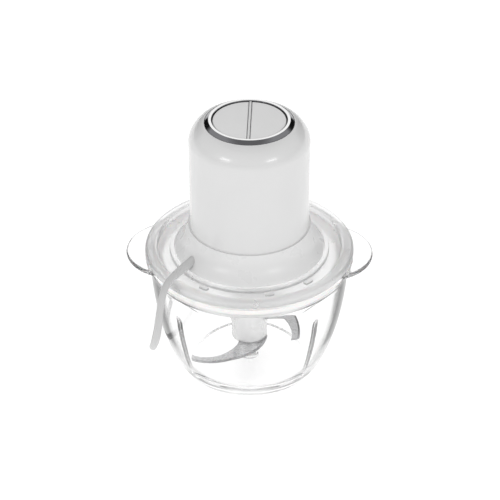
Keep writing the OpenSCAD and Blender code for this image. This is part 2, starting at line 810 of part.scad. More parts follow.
module cord_tail() { color([0.85, 0.85, 0.85]) swept_tube(tail_route, cord_r); }
module plug_body() {
    x0 = plug_neck;
    color([0.85, 0.85, 0.85])
        translate(plug_c) {
            rod_x(cord_r + 0.7, 5.6, 0, x0 + 1);
            intersection() {
                block(x0, x0 + plug_len, -plug_w / 2, plug_w / 2, -plug_t / 2, plug_t / 2);
                translate([x0 - 2, 0, 0]) rotate([0, 90, 0]) union() {
                    for (y = [-4.6, 4.6]) translate([0, y, 0]) cylinder(r = 8, h = plug_len + 4);
                    translate([-8, -4.6, 0]) cube([16, 9.2, plug_len + 4]);
                }
            }
        }
}
module plug_pins() {
    x0 = plug_neck + plug_len;
    color("gold")
        translate(plug_c) for (s = [-1, 1]) translate([0, s * pin_spacing / 2, 0])
            rod_x(plug_pin_r, plug_pin_r, x0, x0 + plug_pin_len);
}

glass_bowl();
pivot_pin();
lid();
lid_gasket();
blade_hub();
hub_core();
hub_bush();
lower_blade();
upper_blade();
motor_housing();
base_skirt();
bezel_ring();
bridge_bar();
low_button();
high_button();
low_spring();
high_spring();
switch_carrier();
switch_board();
low_switch();
high_switch();
suppressor_capacitor();
stator_core();
field_coils();
motor_bolts();
bolt_spacers();
upper_bracket();
lower_bracket();
upper_bearing();
lower_bearing();
brush_holders();
carbon_brushes();
motor_dampers();
mount_screws();
housing_screws();
motor_shaft();
rotor_stack();
rotor_windings();
commutator();
cooling_fan();
sun_pinion();
ring_gear();
gearbox_cover();
planet_carrier();
planet_pins();
planet_gear_1();
planet_gear_2();
planet_gear_3();
output_bush();
output_coupling();
strain_relief();
cord_inner_end();
cord_clamp();
clamp_screws();
cord_run();
cord_coil();
cord_tail();
plug_body();
plug_pins();
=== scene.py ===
import json
import math

import bmesh
import bpy
from mathutils import Matrix, Vector
from mathutils.geometry import delaunay_2d_cdt


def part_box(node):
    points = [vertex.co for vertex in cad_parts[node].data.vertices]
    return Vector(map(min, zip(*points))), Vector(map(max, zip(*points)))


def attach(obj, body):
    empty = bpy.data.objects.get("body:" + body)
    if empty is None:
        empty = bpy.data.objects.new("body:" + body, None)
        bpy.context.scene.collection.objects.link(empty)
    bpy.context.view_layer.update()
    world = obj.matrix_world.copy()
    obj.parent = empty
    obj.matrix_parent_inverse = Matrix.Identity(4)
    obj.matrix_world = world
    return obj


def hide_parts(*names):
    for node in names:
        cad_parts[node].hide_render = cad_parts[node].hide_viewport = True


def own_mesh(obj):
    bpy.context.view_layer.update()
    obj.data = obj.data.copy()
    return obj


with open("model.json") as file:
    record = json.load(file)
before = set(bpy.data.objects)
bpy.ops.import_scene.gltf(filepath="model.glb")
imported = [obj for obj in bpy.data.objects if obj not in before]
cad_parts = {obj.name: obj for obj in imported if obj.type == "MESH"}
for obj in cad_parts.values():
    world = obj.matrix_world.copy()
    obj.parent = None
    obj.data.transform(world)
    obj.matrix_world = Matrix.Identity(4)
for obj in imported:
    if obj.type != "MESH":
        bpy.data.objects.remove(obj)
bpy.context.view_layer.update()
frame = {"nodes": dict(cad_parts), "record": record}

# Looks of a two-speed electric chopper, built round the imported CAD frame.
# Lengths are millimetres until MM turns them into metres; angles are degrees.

MM = 0.001


def span(node):
    """Lowest and highest corner of a CAD node, in millimetres."""
    low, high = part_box(node)
    return low / MM, high / MM


def sin(a):
    return math.sin(math.radians(a))


def cos(a):
    return math.cos(math.radians(a))


# ---- shader nodes -----------------------------------------------------------------

def add(tree, kind, inputs=None, **settings):
    """A new node. An input that is given a socket is linked, and any other is set."""
    node = tree.nodes.new("ShaderNode" + kind)
    for key, value in settings.items():
        setattr(node, key, value)
    for key, value in (inputs or {}).items():
        if isinstance(value, bpy.types.NodeSocket):
            tree.links.new(value, node.inputs[key])
        else:
            node.inputs[key].default_value = value
    return node


def spread(tree, source, low, high, start=0.3, end=0.7):
    """The range from start to end becomes low to high."""
    return add(tree, "MapRange", {"Value": source, "From Min": start, "From Max": end,
                                  "To Min": low, "To Max": high}).outputs[0]


def ramp(tree, source, stops):
    """Brightness that follows a value, from stops of (place, level)."""
    node = add(tree, "ValToRGB", {"Fac": source})
    elements = node.color_ramp.elements
    for k, (place, level) in enumerate(stops):
        stop = elements[k] if k < 2 else elements.new(place)
        stop.position = place
        stop.color = (level, level, level, 1)
    return node.outputs["Color"]


def mix(tree, factor, a, b):
    """From colour a to colour b; each is a socket or a plain (r, g, b)."""
    a, b = (c if isinstance(c, bpy.types.NodeSocket) else (*c, 1) for c in (a, b))
    node = add(tree, "Mix", {"Factor": factor, "A": a, "B": b}, data_type="RGBA")
    return node.outputs["Result"]


# ---- camera, floor and light --------------------------------------------------------

YAW = 1.8            # the object's right ear stands a little nearer to the camera
CAM_BACK = 1273.5    # horizontal distance from the blade's axis
CAM_UP = 984.1
CAM_PITCH = 34.325   # looking down
CAM_LENS = 129.6
CAM_SHIFT = 0.0012


def make_camera():
    data = bpy.data.cameras.new("camera")
    data.sensor_width = 36
    data.lens = CAM_LENS
    data.shift_x = CAM_SHIFT
    data.clip_start = 0.01
    camera = bpy.data.objects.new("camera", data)
    camera.location = Vector((CAM_BACK * sin(YAW), -CAM_BACK * cos(YAW), CAM_UP)) * MM
    camera.rotation_euler = (math.radians(90 - CAM_PITCH), 0, math.radians(YAW))
    bpy.context.scene.collection.objects.link(camera)
    bpy.context.scene.camera = camera


# sine of the elevation, brightness
SKY = [(0.0, 0.60), (0.18, 0.55), (0.34, 0.95), (0.80, 1.0), (0.91, 0.50), (1.0, 0.55)]
OPENING = (0.583, 0.80, 0.14)    # towards the right one of the two dark openings
OPENING_FROM, OPENING_TO = 0.88, 0.96
OPENING_LEVEL = 0.03
BACKDROP = (0.86, 0.86, 0.86)


def make_world():
    """Soft studio surroundings: pale at the horizon, bright at the sides, dim overhead."""
    world = bpy.data.worlds.new("studio")
    bpy.context.scene.world = world
    world.use_nodes = True
    tree = world.node_tree
    direction = add(tree, "TexCoord").outputs["Generated"]
    split = add(tree, "SeparateXYZ", {0: direction})
    # two dark openings low down behind the set, left and right
    fold = add(tree, "VectorMath", {0: direction}, operation="ABSOLUTE")
    sides = add(tree, "SeparateXYZ", {0: fold.outputs[0]})
    mirrored = add(tree, "CombineXYZ", {"X": sides.outputs["X"], "Y": split.outputs["Y"],
                                        "Z": split.outputs["Z"]})
    near = add(tree, "VectorMath", {0: mirrored.outputs[0], 1: OPENING},
               operation="DOT_PRODUCT")
    level = spread(tree, near.outputs["Value"], 1, OPENING_LEVEL, OPENING_FROM, OPENING_TO)
    lit = add(tree, "VectorMath", {0: ramp(tree, split.outputs["Z"], SKY), "Scale": level},
              operation="SCALE")
    # seen directly, the backdrop is plain and pale
    direct = add(tree, "LightPath").outputs["Is Camera Ray"]
    tree.links.new(mix(tree, direct, lit.outputs[0], BACKDROP),
                   tree.nodes["Background"].inputs["Color"])


def area_light(name, place, aim, size, power):
    data = bpy.data.lights.new(name, "AREA")
    data.shape = "RECTANGLE"
    data.size, data.size_y = size
    data.energy = power
    light = bpy.data.objects.new(name, data)
    light.location = place
    light.rotation_euler = (Vector(aim) - Vector(place)).to_track_quat("-Z", "Y").to_euler()
    bpy.context.scene.collection.objects.link(light)


LAMP_AIM = (0, 0, 0.2)
LAMP_SIZE = (0.50, 0.2)
LAMP_POWER = 2.3
FLOOR_R = 30.0
FLOOR_DROP = 0.0002  # keeps the floor just under the feet
BOUNCES = 48         # light has to find its way out of the thick glass


def make_studio():
    scene = bpy.context.scene
    scene.view_settings.view_transform = "Standard"
    scene.cycles.glossy_bounces = scene.cycles.transmission_bounces = BOUNCES
    scene.cycles.max_bounces = BOUNCES + 16
    make_world()
    for name, x in (("left_lamp", -1.02), ("right_lamp", 1.02)):
        area_light(name, (x, -1.08, 0.82), LAMP_AIM, LAMP_SIZE, LAMP_POWER)
    count = 64
    corners = [(FLOOR_R * cos(360 * k / count), FLOOR_R * sin(360 * k / count), -FLOOR_DROP)
               for k in range(count)]
    mesh = bpy.data.meshes.new("floor")
    mesh.from_pydata(corners, [], [list(range(count))])
    floor = bpy.data.objects.new("floor", mesh)
    scene.collection.objects.link(floor)
    material = bpy.data.materials.new("floor")
    material.use_nodes = True
    shader = material.node_tree.nodes["Principled BSDF"]
    for socket, value in (("Base Color", (0.8, 0.8, 0.8, 1)), ("Roughness", 0.9),
                          ("Specular IOR Level", 0.1), ("Emission Color", (1, 1, 1, 1)),
                          ("Emission Strength", 0.5)):
        shader.inputs[socket].default_value = value
    mesh.materials.append(material)


# ---- outlines ---------------------------------------------------------------------

def bezier(p, count):
    """Points of a four-point Bezier curve in the plane, both ends included."""
    points = []
    for i in range(count + 1):
        t = i / count
        w = ((1 - t) ** 3, 3 * t * (1 - t) ** 2, 3 * t * t * (1 - t), t ** 3)
        points.append(tuple(sum(w[k] * p[k][axis] for k in range(4)) for axis in (0, 1)))
    return points


def rounded(corners, steps=5, closed=True):
    """Turns (x, y, radius) corners into points: each corner with a radius becomes an arc.

    A corner of radius 0 is repeated as often, so that sections of one turned shape have
    the same number of points. With a radius of -1 it is a single point.
    """
    points = []
    for i, (x, y, radius) in enumerate(corners):
        if not closed and i in (0, len(corners) - 1):
            points.append((x, y))
            continue
        here = Vector((x, y))
        before = Vector(corners[i - 1][:2]) - here
        after = Vector(corners[(i + 1) % len(corners)][:2]) - here
        if radius <= 0 or before.length < 1e-6 or after.length < 1e-6:
            points += [(x, y)] * (steps + 1 if radius >= 0 else 1)
            continue
        before.normalize()
        after.normalize()
        half = before.angle(after) / 2
        if half > math.pi / 2 - 0.01:
            points += [(x, y)] * (steps + 1)
            continue
        centre = here + (before + after).normalized() * radius / math.sin(half)
        first = here + before * radius / math.tan(half) - centre
        last = here + after * radius / math.tan(half) - centre
        a0 = math.atan2(first.y, first.x)
        turn = (math.atan2(last.y, last.x) - a0 + math.pi) % (2 * math.pi) - math.pi
        for k in range(steps + 1):
            a = a0 + turn * k / steps
            points.append((centre.x + radius * math.cos(a), centre.y + radius * math.sin(a)))
    return points


def arc(cx, cy, r, a0, a1, count):
    return [(cx + r * cos(a0 + (a1 - a0) * k / count), cy + r * sin(a0 + (a1 - a0) * k / count))
            for k in range(count + 1)]


# ---- meshes -----------------------------------------------------------------------

SAME_POINT = 2e-7    # points nearer than this, in metres, are one


def grid_faces(rows, cols, wrap_rows, wrap_cols):
    """Faces of a grid of points stored row by row."""
    faces = []
    for i in range(rows if wrap_rows else rows - 1):
        for j in range(cols if wrap_cols else cols - 1):
            a, b = i * cols, (i + 1) % rows * cols
            faces.append((a + j, a + (j + 1) % cols, b + (j + 1) % cols, b + j))
    return faces


def turned(profile, angles=192, closed=True):
    """A profile of (r, z) turned about Z. It may be a function of the angle, in degrees."""
    if isinstance(angles, int):
        angles = [360 * k / angles for k in range(angles)]
    points = []
    for a in angles:
        section = profile(a) if callable(profile) else profile
        points += [(r * cos(a), r * sin(a), z) for r, z in section]
    return points, grid_faces(len(angles), len(points) // len(angles), True, closed)


def loft(sections, caps=True):
    """Skin over closed outlines with the same number of points, capped at both ends."""
    cols = len(sections[0])
    points = [p for section in sections for p in section]
    faces = grid_faces(len(sections), cols, False, True)
    if caps:
        faces.append(list(range(cols))[::-1])
        faces.append([(len(sections) - 1) * cols + j for j in range(cols)])
    return points, faces


def joined(*parts):
    """Several (points, faces) as one."""
    points, faces = [], []
    for more, some in parts:
        faces += [[k + len(points) for k in face] for face in some]
        points += more
    return points, faces


def moved(shape, *steps):
    """The shape after each step, the last step first."""
    matrix = Matrix()
    for step in steps:
        matrix = matrix @ step
    points, faces = shape
    return [tuple(matrix @ Vector(p)) for p in points], faces


def rotation(angle, axis="Z"):
    return Matrix.Rotation(math.radians(angle), 4, axis)


def shift(x, y, z=0):
    return Matrix.Translation((x, y, z))


def piece(name, shape, body, material, replaces=(), sharp=32):
    """A mesh object from points in millimetres; it rides on a body and has one material."""
    points, faces = shape
    mesh = bpy.data.meshes.new(name)
    mesh.from_pydata([tuple(x * MM for x in p) for p in points], [], faces)
    built = bmesh.new()
    built.from_mesh(mesh)
    bmesh.ops.remove_doubles(built, verts=built.verts, dist=SAME_POINT)
    bmesh.ops.dissolve_degenerate(built, edges=built.edges, dist=SAME_POINT / 2)
    bmesh.ops.recalc_face_normals(built, faces=built.faces)
    built.to_mesh(mesh)
    built.free()
    return finished(name, mesh, body, material, replaces, sharp)


def finished(name, mesh, body, material, replaces=(), sharp=32):
    mesh.polygons.foreach_set("use_smooth", [True] * len(mesh.polygons))
    mesh.set_sharp_from_angle(angle=math.radians(sharp))
    mesh.materials.append(material)
    made = bpy.data.objects.new(name, mesh)
    bpy.context.scene.collection.objects.link(made)
    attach(made, body)
    if replaces:
        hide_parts(*replaces)
    return made


# ---- materials --------------------------------------------------------------------

GRAIN_DEPTH = 0.0002
DARKER_BLEND = 0.01
WALL_TOP = 0.12                          # height over which the wall's painted edge shade is set, in metres
PAINTED_SHADE_HEIGHTS = [(0.2, 0), (0.4, 1)]         # none on the foot
# painted shade: the glass is darkened where it is seen edge on, in place of the dark it refracts
# there
PAINTED_EDGE_SHADE = [(0.62, 0), (0.73, 1), (0.94, 1), (1.0, 0.7)]
# painted shade on the glass ribs, which look dark from refraction
PAINTED_RIB_SHADE = (0.10, 0.10, 0.10)


def painted_glass_shade(tree, coords, color, edge):
    """Painted shade on pressed glass: darker where the wall is seen edge on, and on its ribs."""
    facing = add(tree, "LayerWeight", {"Blend": 0.5}).outputs["Facing"]
    height = add(tree, "SeparateXYZ", {0: coords.outputs["Object"]}).outputs["Z"]
    on_wall = ramp(tree, spread(tree, height, 0, 1, 0, WALL_TOP), PAINTED_SHADE_HEIGHTS)
    both = add(tree, "Math", {0: ramp(tree, facing, PAINTED_EDGE_SHADE), 1: on_wall},
               operation="MULTIPLY")
    edge_shaded = mix(tree, both.outputs[0], color, edge)
    # painted shade on the ribs
    on_rib = add(tree, "Attribute", attribute_name="rib").outputs["Fac"]
    return mix(tree, on_rib, edge_shaded, PAINTED_RIB_SHADE)


def surface(name, color, rough, metal=0.0, tone=0.02, tone_scale=25, grain=0.05,
            grain_scale=900, stretch=(1, 1, 1), rough_range=0.05, edge=None, ground=None,
            darker_below=0.95, **sockets):
    """A Principled material: slight changes of tone and gloss, and a fine grain as bump.

    Glass may have an edge colour, painted shade which it takes where it is seen edge on. Metal
    may have a darker ground colour, for faces whose normal has an upward part below darker_below:
    painted reflection on the chrome bezel, and darker sloping faces on the blades.
    """
    material = bpy.data.materials.new(name)
    material.use_nodes = True
    tree = material.node_tree
    shader = tree.nodes["Principled BSDF"]
    shader.inputs["Metallic"].default_value = metal
    for socket, value in sockets.items():
        shader.inputs[socket.replace("_", " ")].default_value = value
    coords = add(tree, "TexCoord")
    place = add(tree, "Mapping", {"Vector": coords.outputs["Object"], "Scale": stretch})

    def noise(size, detail):
        return add(tree, "TexNoise", {"Vector": place.outputs[0], "Scale": size,
                                      "Detail": detail}).outputs["Fac"]

    if tone:
        darker = [c * (1 - tone) for c in color]
        lighter = [min(1, c * (1 + tone)) for c in color]
        base = mix(tree, spread(tree, noise(tone_scale, 3), 0, 1), darker, lighter)
        # faces that slope take the darker ground colour: painted reflection on the chrome bezel,
        # darker sloping faces on the blades
        if ground:
            up = add(tree, "SeparateXYZ", {0: coords.outputs["Normal"]}).outputs["Z"]
            aslant = spread(tree, up, 1, 0, darker_below - DARKER_BLEND, darker_below + DARKER_BLEND)
            base = mix(tree, aslant, base, ground)
        tree.links.new(base, shader.inputs["Base Color"])
    # painted shade on glass that is seen edge on
    elif edge:
        tree.links.new(painted_glass_shade(tree, coords, color, edge), shader.inputs["Base Color"])
    else:
        shader.inputs["Base Color"].default_value = (*color, 1)
    if rough_range:
        low, high = max(0.0, rough - rough_range), rough + rough_range
        tree.links.new(spread(tree, noise(tone_scale * 3, 4), low, high),
                       shader.inputs["Roughness"])
    else:
        shader.inputs["Roughness"].default_value = rough
    if grain:
        bump = add(tree, "Bump", {"Strength": grain, "Distance": GRAIN_DEPTH,
                                  "Height": noise(grain_scale, 2)})
        tree.links.new(bump.outputs[0], shader.inputs["Normal"])
    return material


def make_materials():
    """A material for each slot of the record, and others for the blades and the hub's core."""
    glassy = {"Transmission_Weight": 1.0, "tone": 0}
    return {
        # the bowl's edge colour is painted shade, nearly black where the glass is seen edge on
        "bowl_glass": surface("bowl_glass", (0.965, 0.965, 0.965), 0.0, rough_range=0, grain=0.05,
                              grain_scale=40, IOR=1.5, edge=(0.01, 0.01, 0.01), **glassy),
        "lid_clear": surface("lid_clear", (0.975, 0.975, 0.975), 0.30, rough_range=0.03,
                             grain=0.04, grain_scale=60, IOR=1.5, **glassy),
        "sleeve_clear": surface("sleeve_clear", (0.92, 0.92, 0.92), 0.25, rough_range=0.04,
                                grain=0.03, IOR=1.45, **glassy),
        "white_plastic": surface("white_plastic", (0.66, 0.66, 0.66), 0.22, tone=0.01,
                                 grain=0.03, Coat_Weight=0.3, Coat_Roughness=0.08),
        "core_plastic": surface("core_plastic", (0.86, 0.86, 0.86), 0.3, tone=0.01, grain=0.03),
        "skirt_plastic": surface("skirt_plastic", (0.70, 0.70, 0.70), 0.3, tone=0.012,
                                 grain=0.05, Coat_Weight=0.1, Coat_Roughness=0.15),
        "button_plastic": surface("button_plastic", (0.74, 0.74, 0.74), 0.36, tone=0.015,
                                  grain=0.08),
        "inner_plastic": surface("inner_plastic", (0.78, 0.76, 0.70), 0.5, grain=0.1),
        # painted reflection: the bezel's sloping faces are painted dark, as if mirroring a dark
        # room
        "chrome": surface("chrome", (0.93, 0.93, 0.93), 0.10, 1.0, tone=0.02,
                          rough_range=0.03, grain=0.01, ground=(0.20, 0.20, 0.21),
                          darker_below=0.88),
        "steel": surface("steel", (0.60, 0.60, 0.61), 0.30, 1.0, tone=0.04, tone_scale=60,
                         rough_range=0.06, grain=0.12, grain_scale=500, stretch=(1, 6, 6)),
        # the blades are darker on their sloping faces and sides
        "blade_steel": surface("blade_steel", (0.66, 0.66, 0.67), 0.26, 1.0, tone=0.03,
                               tone_scale=60, rough_range=0.05, grain=0.05, grain_scale=500,
                               stretch=(1, 6, 6), ground=(0.40, 0.40, 0.41)),
        "lamination": surface("lamination", (0.20, 0.20, 0.22), 0.45, 0.9, tone=0.1,
                              grain=0.3, grain_scale=300, stretch=(0.2, 0.2, 8)),
        "aluminium": surface("aluminium", (0.72, 0.72, 0.73), 0.42, 1.0, tone=0.05,
                             grain=0.2, grain_scale=700),
        "copper": surface("copper", (0.72, 0.34, 0.16), 0.28, 1.0, tone=0.12, tone_scale=90,
                          grain=0.5, grain_scale=220, stretch=(1, 1, 7)),
        "brass": surface("brass", (0.78, 0.58, 0.28), 0.30, 1.0, tone=0.06, grain=0.1),
        "carbon": surface("carbon", (0.03, 0.03, 0.03), 0.6, tone=0.2, grain=0.3),
        "silicone": surface("silicone", (0.88, 0.88, 0.87), 0.4, tone=0.02, grain=0.06,
                            Subsurface_Weight=0.2, Subsurface_Scale=0.002),
        "black_rubber": surface("black_rubber", (0.025, 0.025, 0.025), 0.65, tone=0.15,
                                grain=0.3),
        "board": surface("board", (0.03, 0.16, 0.07), 0.35, tone=0.1, grain=0.2,
                         grain_scale=400),
        "switch_plastic": surface("switch_plastic", (0.04, 0.04, 0.045), 0.4, tone=0.1,
                                  grain=0.15),
        "capacitor_plastic": surface("capacitor_plastic", (0.62, 0.44, 0.10), 0.3, tone=0.05),
        "cord_pvc": surface("cord_pvc", (0.55, 0.55, 0.55), 0.42, tone=0.02, grain=0.15,
                            grain_scale=500),
        "plated": surface("plated", (0.75, 0.72, 0.66), 0.2, 1.0, tone=0.05,
                          rough_range=0.06, grain=0.06),
    }


def dress_cad_nodes(materials):
    """Every CAD node takes the material of its slot in the record."""
    for row in frame["record"]["subparts"]:
        node = frame["nodes"][row["node"]]
        node.data.materials.clear()
        node.data.materials.append(materials[row["material_slot"]])


# ---- mains lead -------------------------------------------------------------------

CORD_R = 3.0
RUN_ROUTE = [
    (-60, -54.5, 125.2), (-63.2, -60, 125), (-66.2, -66.3, 123.4), (-68.4, -72.7, 120),
    (-70, -78.4, 114.8), (-71, -82.8, 107.8), (-71.8, -85.4, 99.6), (-73, -86, 90.4),
    (-74.8, -83.5, 80), (-77, -77.5, 70.5), (-79, -67, 60), (-80.8, -53, 49),
    (-82.3, -38.5, 38), (-83.5, -23, 27), (-84.5, -8, 17.2), (-85.2, 6.5, 9.5),
    (-85.3, 20.5, 5), (-85, 34.5, 3.2), (-84.9, 48.5, 3), (-84.6, 62.5, 3),
    (-83.7, 76.5, 3), (-82, 90.5, 3), (-79.2, 104, 3), (-74.7, 117.5, 3),
    (-68.6, 130.5, 3), (-62.8, 143.5, 3), (-60, 157, 3),
]
TAIL_ROUTE = [
    (-51, 157, 9), (-51, 167, 9), (-50.8, 177, 8.9), (-49.6, 187, 8.2),
    (-46.2, 196.5, 7.2), (-40.5, 204.5, 6.5), (-33, 210.6, 6.5), (-24, 214, 6.9),
]
COIL_C = (-21, 157)
COIL_OUTER = 39      # middle of the outermost turn
COIL_STEP = 6        # the turns lie side by side
COIL_TURNS = 3
LEAD_ANGLE = 238
LEAD_ORIGIN = (-50.5, -39.2, 125.2)


def lead_place():
    """Where the lead leaves the skirt, with Z pointing outwards along it."""
    return Matrix.Translation(LEAD_ORIGIN) @ rotation(LEAD_ANGLE) @ rotation(90, "Y")


def ease(t):
    t = min(1.0, max(0.0, t))
    return t * t * (3 - 2 * t)


def coil_points():
    """Three turns clockwise from the left side; each steps inwards, and the last one climbs."""
    step_from, step_to = 270, 350
    climb_from, climb_to = 150, 262
    points = []
    for a in range(15, 360 * COIL_TURNS, 15):
        turn, inside = divmod(a, 360)
        r = COIL_OUTER - COIL_STEP * turn
        z = CORD_R
        if turn < COIL_TURNS - 1:
            r -= COIL_STEP * ease((inside - step_from) / (step_to - step_from))
        else:
            up = ease((inside - climb_from) / (climb_to - climb_from))
            r += COIL_STEP / 2 * up * up
            z += COIL_STEP * up
        points.append((COIL_C[0] - r * cos(a), COIL_C[1] + r * sin(a), z))
    return points


def make_cord(materials):
    route = RUN_ROUTE + coil_points() + TAIL_ROUTE
    into_plug = Vector(TAIL_ROUTE[-1]) + Vector((3, 0.4, 0))
    into_relief = Vector(RUN_ROUTE[0]) - Vector((2 * cos(LEAD_ANGLE), 2 * sin(LEAD_ANGLE), 0))
    route = [tuple(into_relief)] + route + [tuple(into_plug)]
    data = bpy.data.curves.new("mains_lead", "CURVE")
    data.dimensions = "3D"
    data.bevel_depth = CORD_R * MM
    data.bevel_resolution = 6
    data.resolution_u = 8
    data.use_fill_caps = True
    spline = data.splines.new("BEZIER")
    spline.bezier_points.add(len(route) - 1)
    for knot, place in zip(spline.bezier_points, route):
        knot.co = Vector(place) * MM
        knot.handle_left_type = knot.handle_right_type = "AUTO"
    data.materials.append(materials["cord_pvc"])
    lead = bpy.data.objects.new("mains_lead", data)
    bpy.context.scene.collection.objects.link(lead)
    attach(lead, "motor_unit")
    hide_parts("cord_run", "cord_coil", "cord_tail")
    return lead


def make_strain_relief(materials):
    """A tapered sleeve with shallow rings, round the lead where it leaves the skirt."""
    tip, ring_from, ring_to, pitch = 18.0, 1.5, 16.0, 2.4
    outline = [(3.0, -17), (4.9, -17), (4.9, -15.2), (4.0, -15)]
    for k in range(121):
        x = -4 + (tip - 0.6 + 4) * k / 120
        r = 4.0 - 0.55 * ease((x + 4) / (tip + 4))
        if ring_from < x < ring_to:
            r -= 0.16 * max(0.0, math.sin(2 * math.pi * (x - ring_from) / pitch))
        outline.append((r, x))
    outline += [(3.35, tip - 0.2), (3.02, tip)]
    piece("strain_relief_sleeve", moved(turned(outline, 64), lead_place()), "motor_unit",
          materials["cord_pvc"], ["strain_relief"])


def superellipse(x, half_w, half_h, power, count=64):
    """A rounded outline across X at height x of the plug."""
    outline = []
    for k in range(count):
        a = 360 * k / count
        c, s = cos(a), sin(a)
        outline.append((x, half_w * math.copysign(abs(c) ** (2 / power), c),
                        half_h * math.copysign(abs(s) ** (2 / power), s)))
    return outline


def make_plug(materials):
    """Two-pole plug: ribbed neck, flat rounded body, two pins with insulating sleeves."""
    low, high = span("plug_body")
    pins_low, pins_high = span("plug_pins")
    centre = shift(low.x, (low.y + high.y) / 2, (low.z + high.z) / 2)
    length = high.x - low.x
    half_w, half_h = (high.y - low.y) / 2, (high.z - low.z) / 2
    neck, count = 22.0, 90
    sections = []
    for k in range(count + 1):
        x = length * k / count
        t = ease((x - 12) / (neck - 6))
        width = 3.9 + (half_w - 3.9) * t
        height = 3.9 + (half_h - 3.9) * t
        if 2 < x < 14:
            groove = 0.35 * max(0.0, math.sin(2 * math.pi * (x - 2) / 3))
            width, height = width - groove, height - groove
        end = max(0.0, (x - (length - 2.5)) / 2.5)
        shrink = 2.5 * (1 - math.sqrt(max(0.0, 1 - end * end)))
        start = max(0.0, 1 - x / 1.2)
        shrink += 0.8 * start * start
        sections.append(superellipse(x, width - shrink, height - shrink, 2 + 1.4 * t))
    body = piece("plug_shell", moved(loft(sections), centre), "motor_unit",
                 materials["cord_pvc"], ["plug_body"])
    r = (pins_high.z - pins_low.z) / 2
    start, end = pins_low.x - low.x - 3, pins_high.x - low.x
    spacing = pins_high.y - pins_low.y - 2 * r
    pin = rounded([(0, start, -1), (r - 0.12, start, 0), (r - 0.12, end, 1.4), (0, end, -1)],
                  closed=False)
    sleeve = rounded([(0, start, -1), (r, start, 0), (r, start + 12.5, 0.3),
                      (0, start + 12.5, -1)], closed=False)
    sides = [centre @ shift(0, s * spacing / 2) @ rotation(90, "Y") for s in (-1, 1)]
    metal = piece("plug_pin_metal", joined(*[moved(turned(pin, 40, False), m) for m in sides]),
                  "motor_unit", materials["plated"], ["plug_pins"])
    plastic = piece("plug_pin_sleeves",
                    joined(*[moved(turned(sleeve, 40, False), m) for m in sides]),
                    "motor_unit", materials["cord_pvc"])
    return [body, metal, plastic]


# ---- bowl -------------------------------------------------------------------------

BOWL_H = 116.0
RIM_R = 87.0
EAR_REACH = 105.5
EAR_ROUND = 41.0
EAR_FILLET = 12.0
EAR_LOW = 111.4
OUTER_WALL = [(60.5, 3.5), (72, 18), (84, 62), (85, 104)]
INNER_WALL = [(52, 6.5), (68, 9), (80, 56), (81.2, 104)]
WALL_STEPS = 80
RIB_H = 3.2
RIB_HALF = 1.15      # half the width of a rib, in degrees
RIB_FROM, RIB_FULL, RIB_TO, RIB_END = 0.28, 0.58, 0.80, 0.86    # along the inner wall


def ear_radius(angle):
    """Outer radius of the bowl's rim and ears in a plan direction."""
    a = abs((angle + 90) % 180 - 90)
    lobe_x = EAR_REACH - EAR_ROUND
    rim_d, lobe_d = RIM_R + EAR_FILLET, EAR_ROUND + EAR_FILLET
    fillet_x = (rim_d ** 2 - lobe_d ** 2 + lobe_x ** 2) / (2 * lobe_x)
    fillet_y = math.sqrt(rim_d ** 2 - fillet_x ** 2)
    fillet_a = math.degrees(math.atan2(fillet_y, fillet_x))
    on_lobe = Vector((lobe_x, 0)) + Vector((fillet_x - lobe_x, fillet_y)) * EAR_ROUND / lobe_d
    lobe_a = math.degrees(math.atan2(on_lobe.y, on_lobe.x))
    if a >= fillet_a:
        return RIM_R
    if a >= lobe_a:
        off = rim_d * sin(a - fillet_a)
        return rim_d * cos(a - fillet_a) - math.sqrt(max(0, EAR_FILLET ** 2 - off * off))
    return lobe_x * cos(a) + math.sqrt(EAR_ROUND ** 2 - (lobe_x * sin(a)) ** 2)


def rib_height(t):
    """How far a rib has risen at a place along the inner wall, from 0 to 1."""
    rise = min(1, max(0, (t - RIB_FROM) / (RIB_FULL - RIB_FROM))) ** 0.6
    fall = max(0, t - RIB_TO) / (RIB_END - RIB_TO)
    return rise * math.sqrt(max(0, 1 - fall * fall))


def rib_bump(angle, t):
    """The rib's round section; it is wider towards the top."""
    half = RIB_HALF * (0.65 + 0.6 * (t - RIB_FROM) / (RIB_END - RIB_FROM))
    return math.sqrt(max(0.0, 1 - (((angle % 90) - 45) / half) ** 2))


def bowl_section(angle):
    """From the middle of the foot up the outside, over the rim, and down the inside."""
    out = ear_radius(angle) - RIM_R
    edge = 1.9 * min(1.0, out / 3)
    inner_fillet = 2.5 * min(1.0, out / 8)
    top = BOWL_H - 0.4 * min(1.0, out / 3)
    section = rounded([(0, 0.8, 0), (46, 0.8, 4), (49.5, 0, 2), (56, 0, 1.6),
                       (61.0, 3.8, 2.5)], closed=False)[:-1]
    section += bezier(OUTER_WALL, 34)
    section += rounded([(84.9, 102, 0), (85.2, 105, 2), (RIM_R, 108, 1.5),
                        (RIM_R, EAR_LOW, inner_fillet), (RIM_R + out, EAR_LOW, edge),
                        (RIM_R + out, top, 2.1), (84, BOWL_H, 1), (82.4, BOWL_H, 1),
                        (81.2, 114, 0.8), (81.2, 104, 0)], steps=6, closed=False)[1:-1]
    for k, (r, z) in enumerate(bezier(INNER_WALL, WALL_STEPS)[::-1]):
        t = 1 - k / WALL_STEPS
        section.append((r - RIB_H * rib_height(t) * rib_bump(angle, t), z))
    section += rounded([(46, 6.5, 0), (9, 6.5, 2), (7, 8.5, 0.5), (7, 22, 1.2), (0, 22, 0)],
                       closed=False)
    return section


def bowl_angles():
    """Plan directions, closer together at the ribs and at the ears' corners."""
    wanted = {round(1.25 * k, 3) for k in range(288)}
    for quarter in (45, 135, 225, 315):
        wanted |= {round(quarter + 0.16 * k, 3) for k in range(-10, 11)}
    for corner in (27, 153, 207, 333):
        wanted |= {round(corner + 0.5 * k, 3) for k in range(-6, 7)}
    return sorted(wanted)


def clear(made):
    """Soft light passes straight through a clear piece, so it throws no dark shadow."""
    made.visible_shadow = False
    made.visible_diffuse = False
    return made


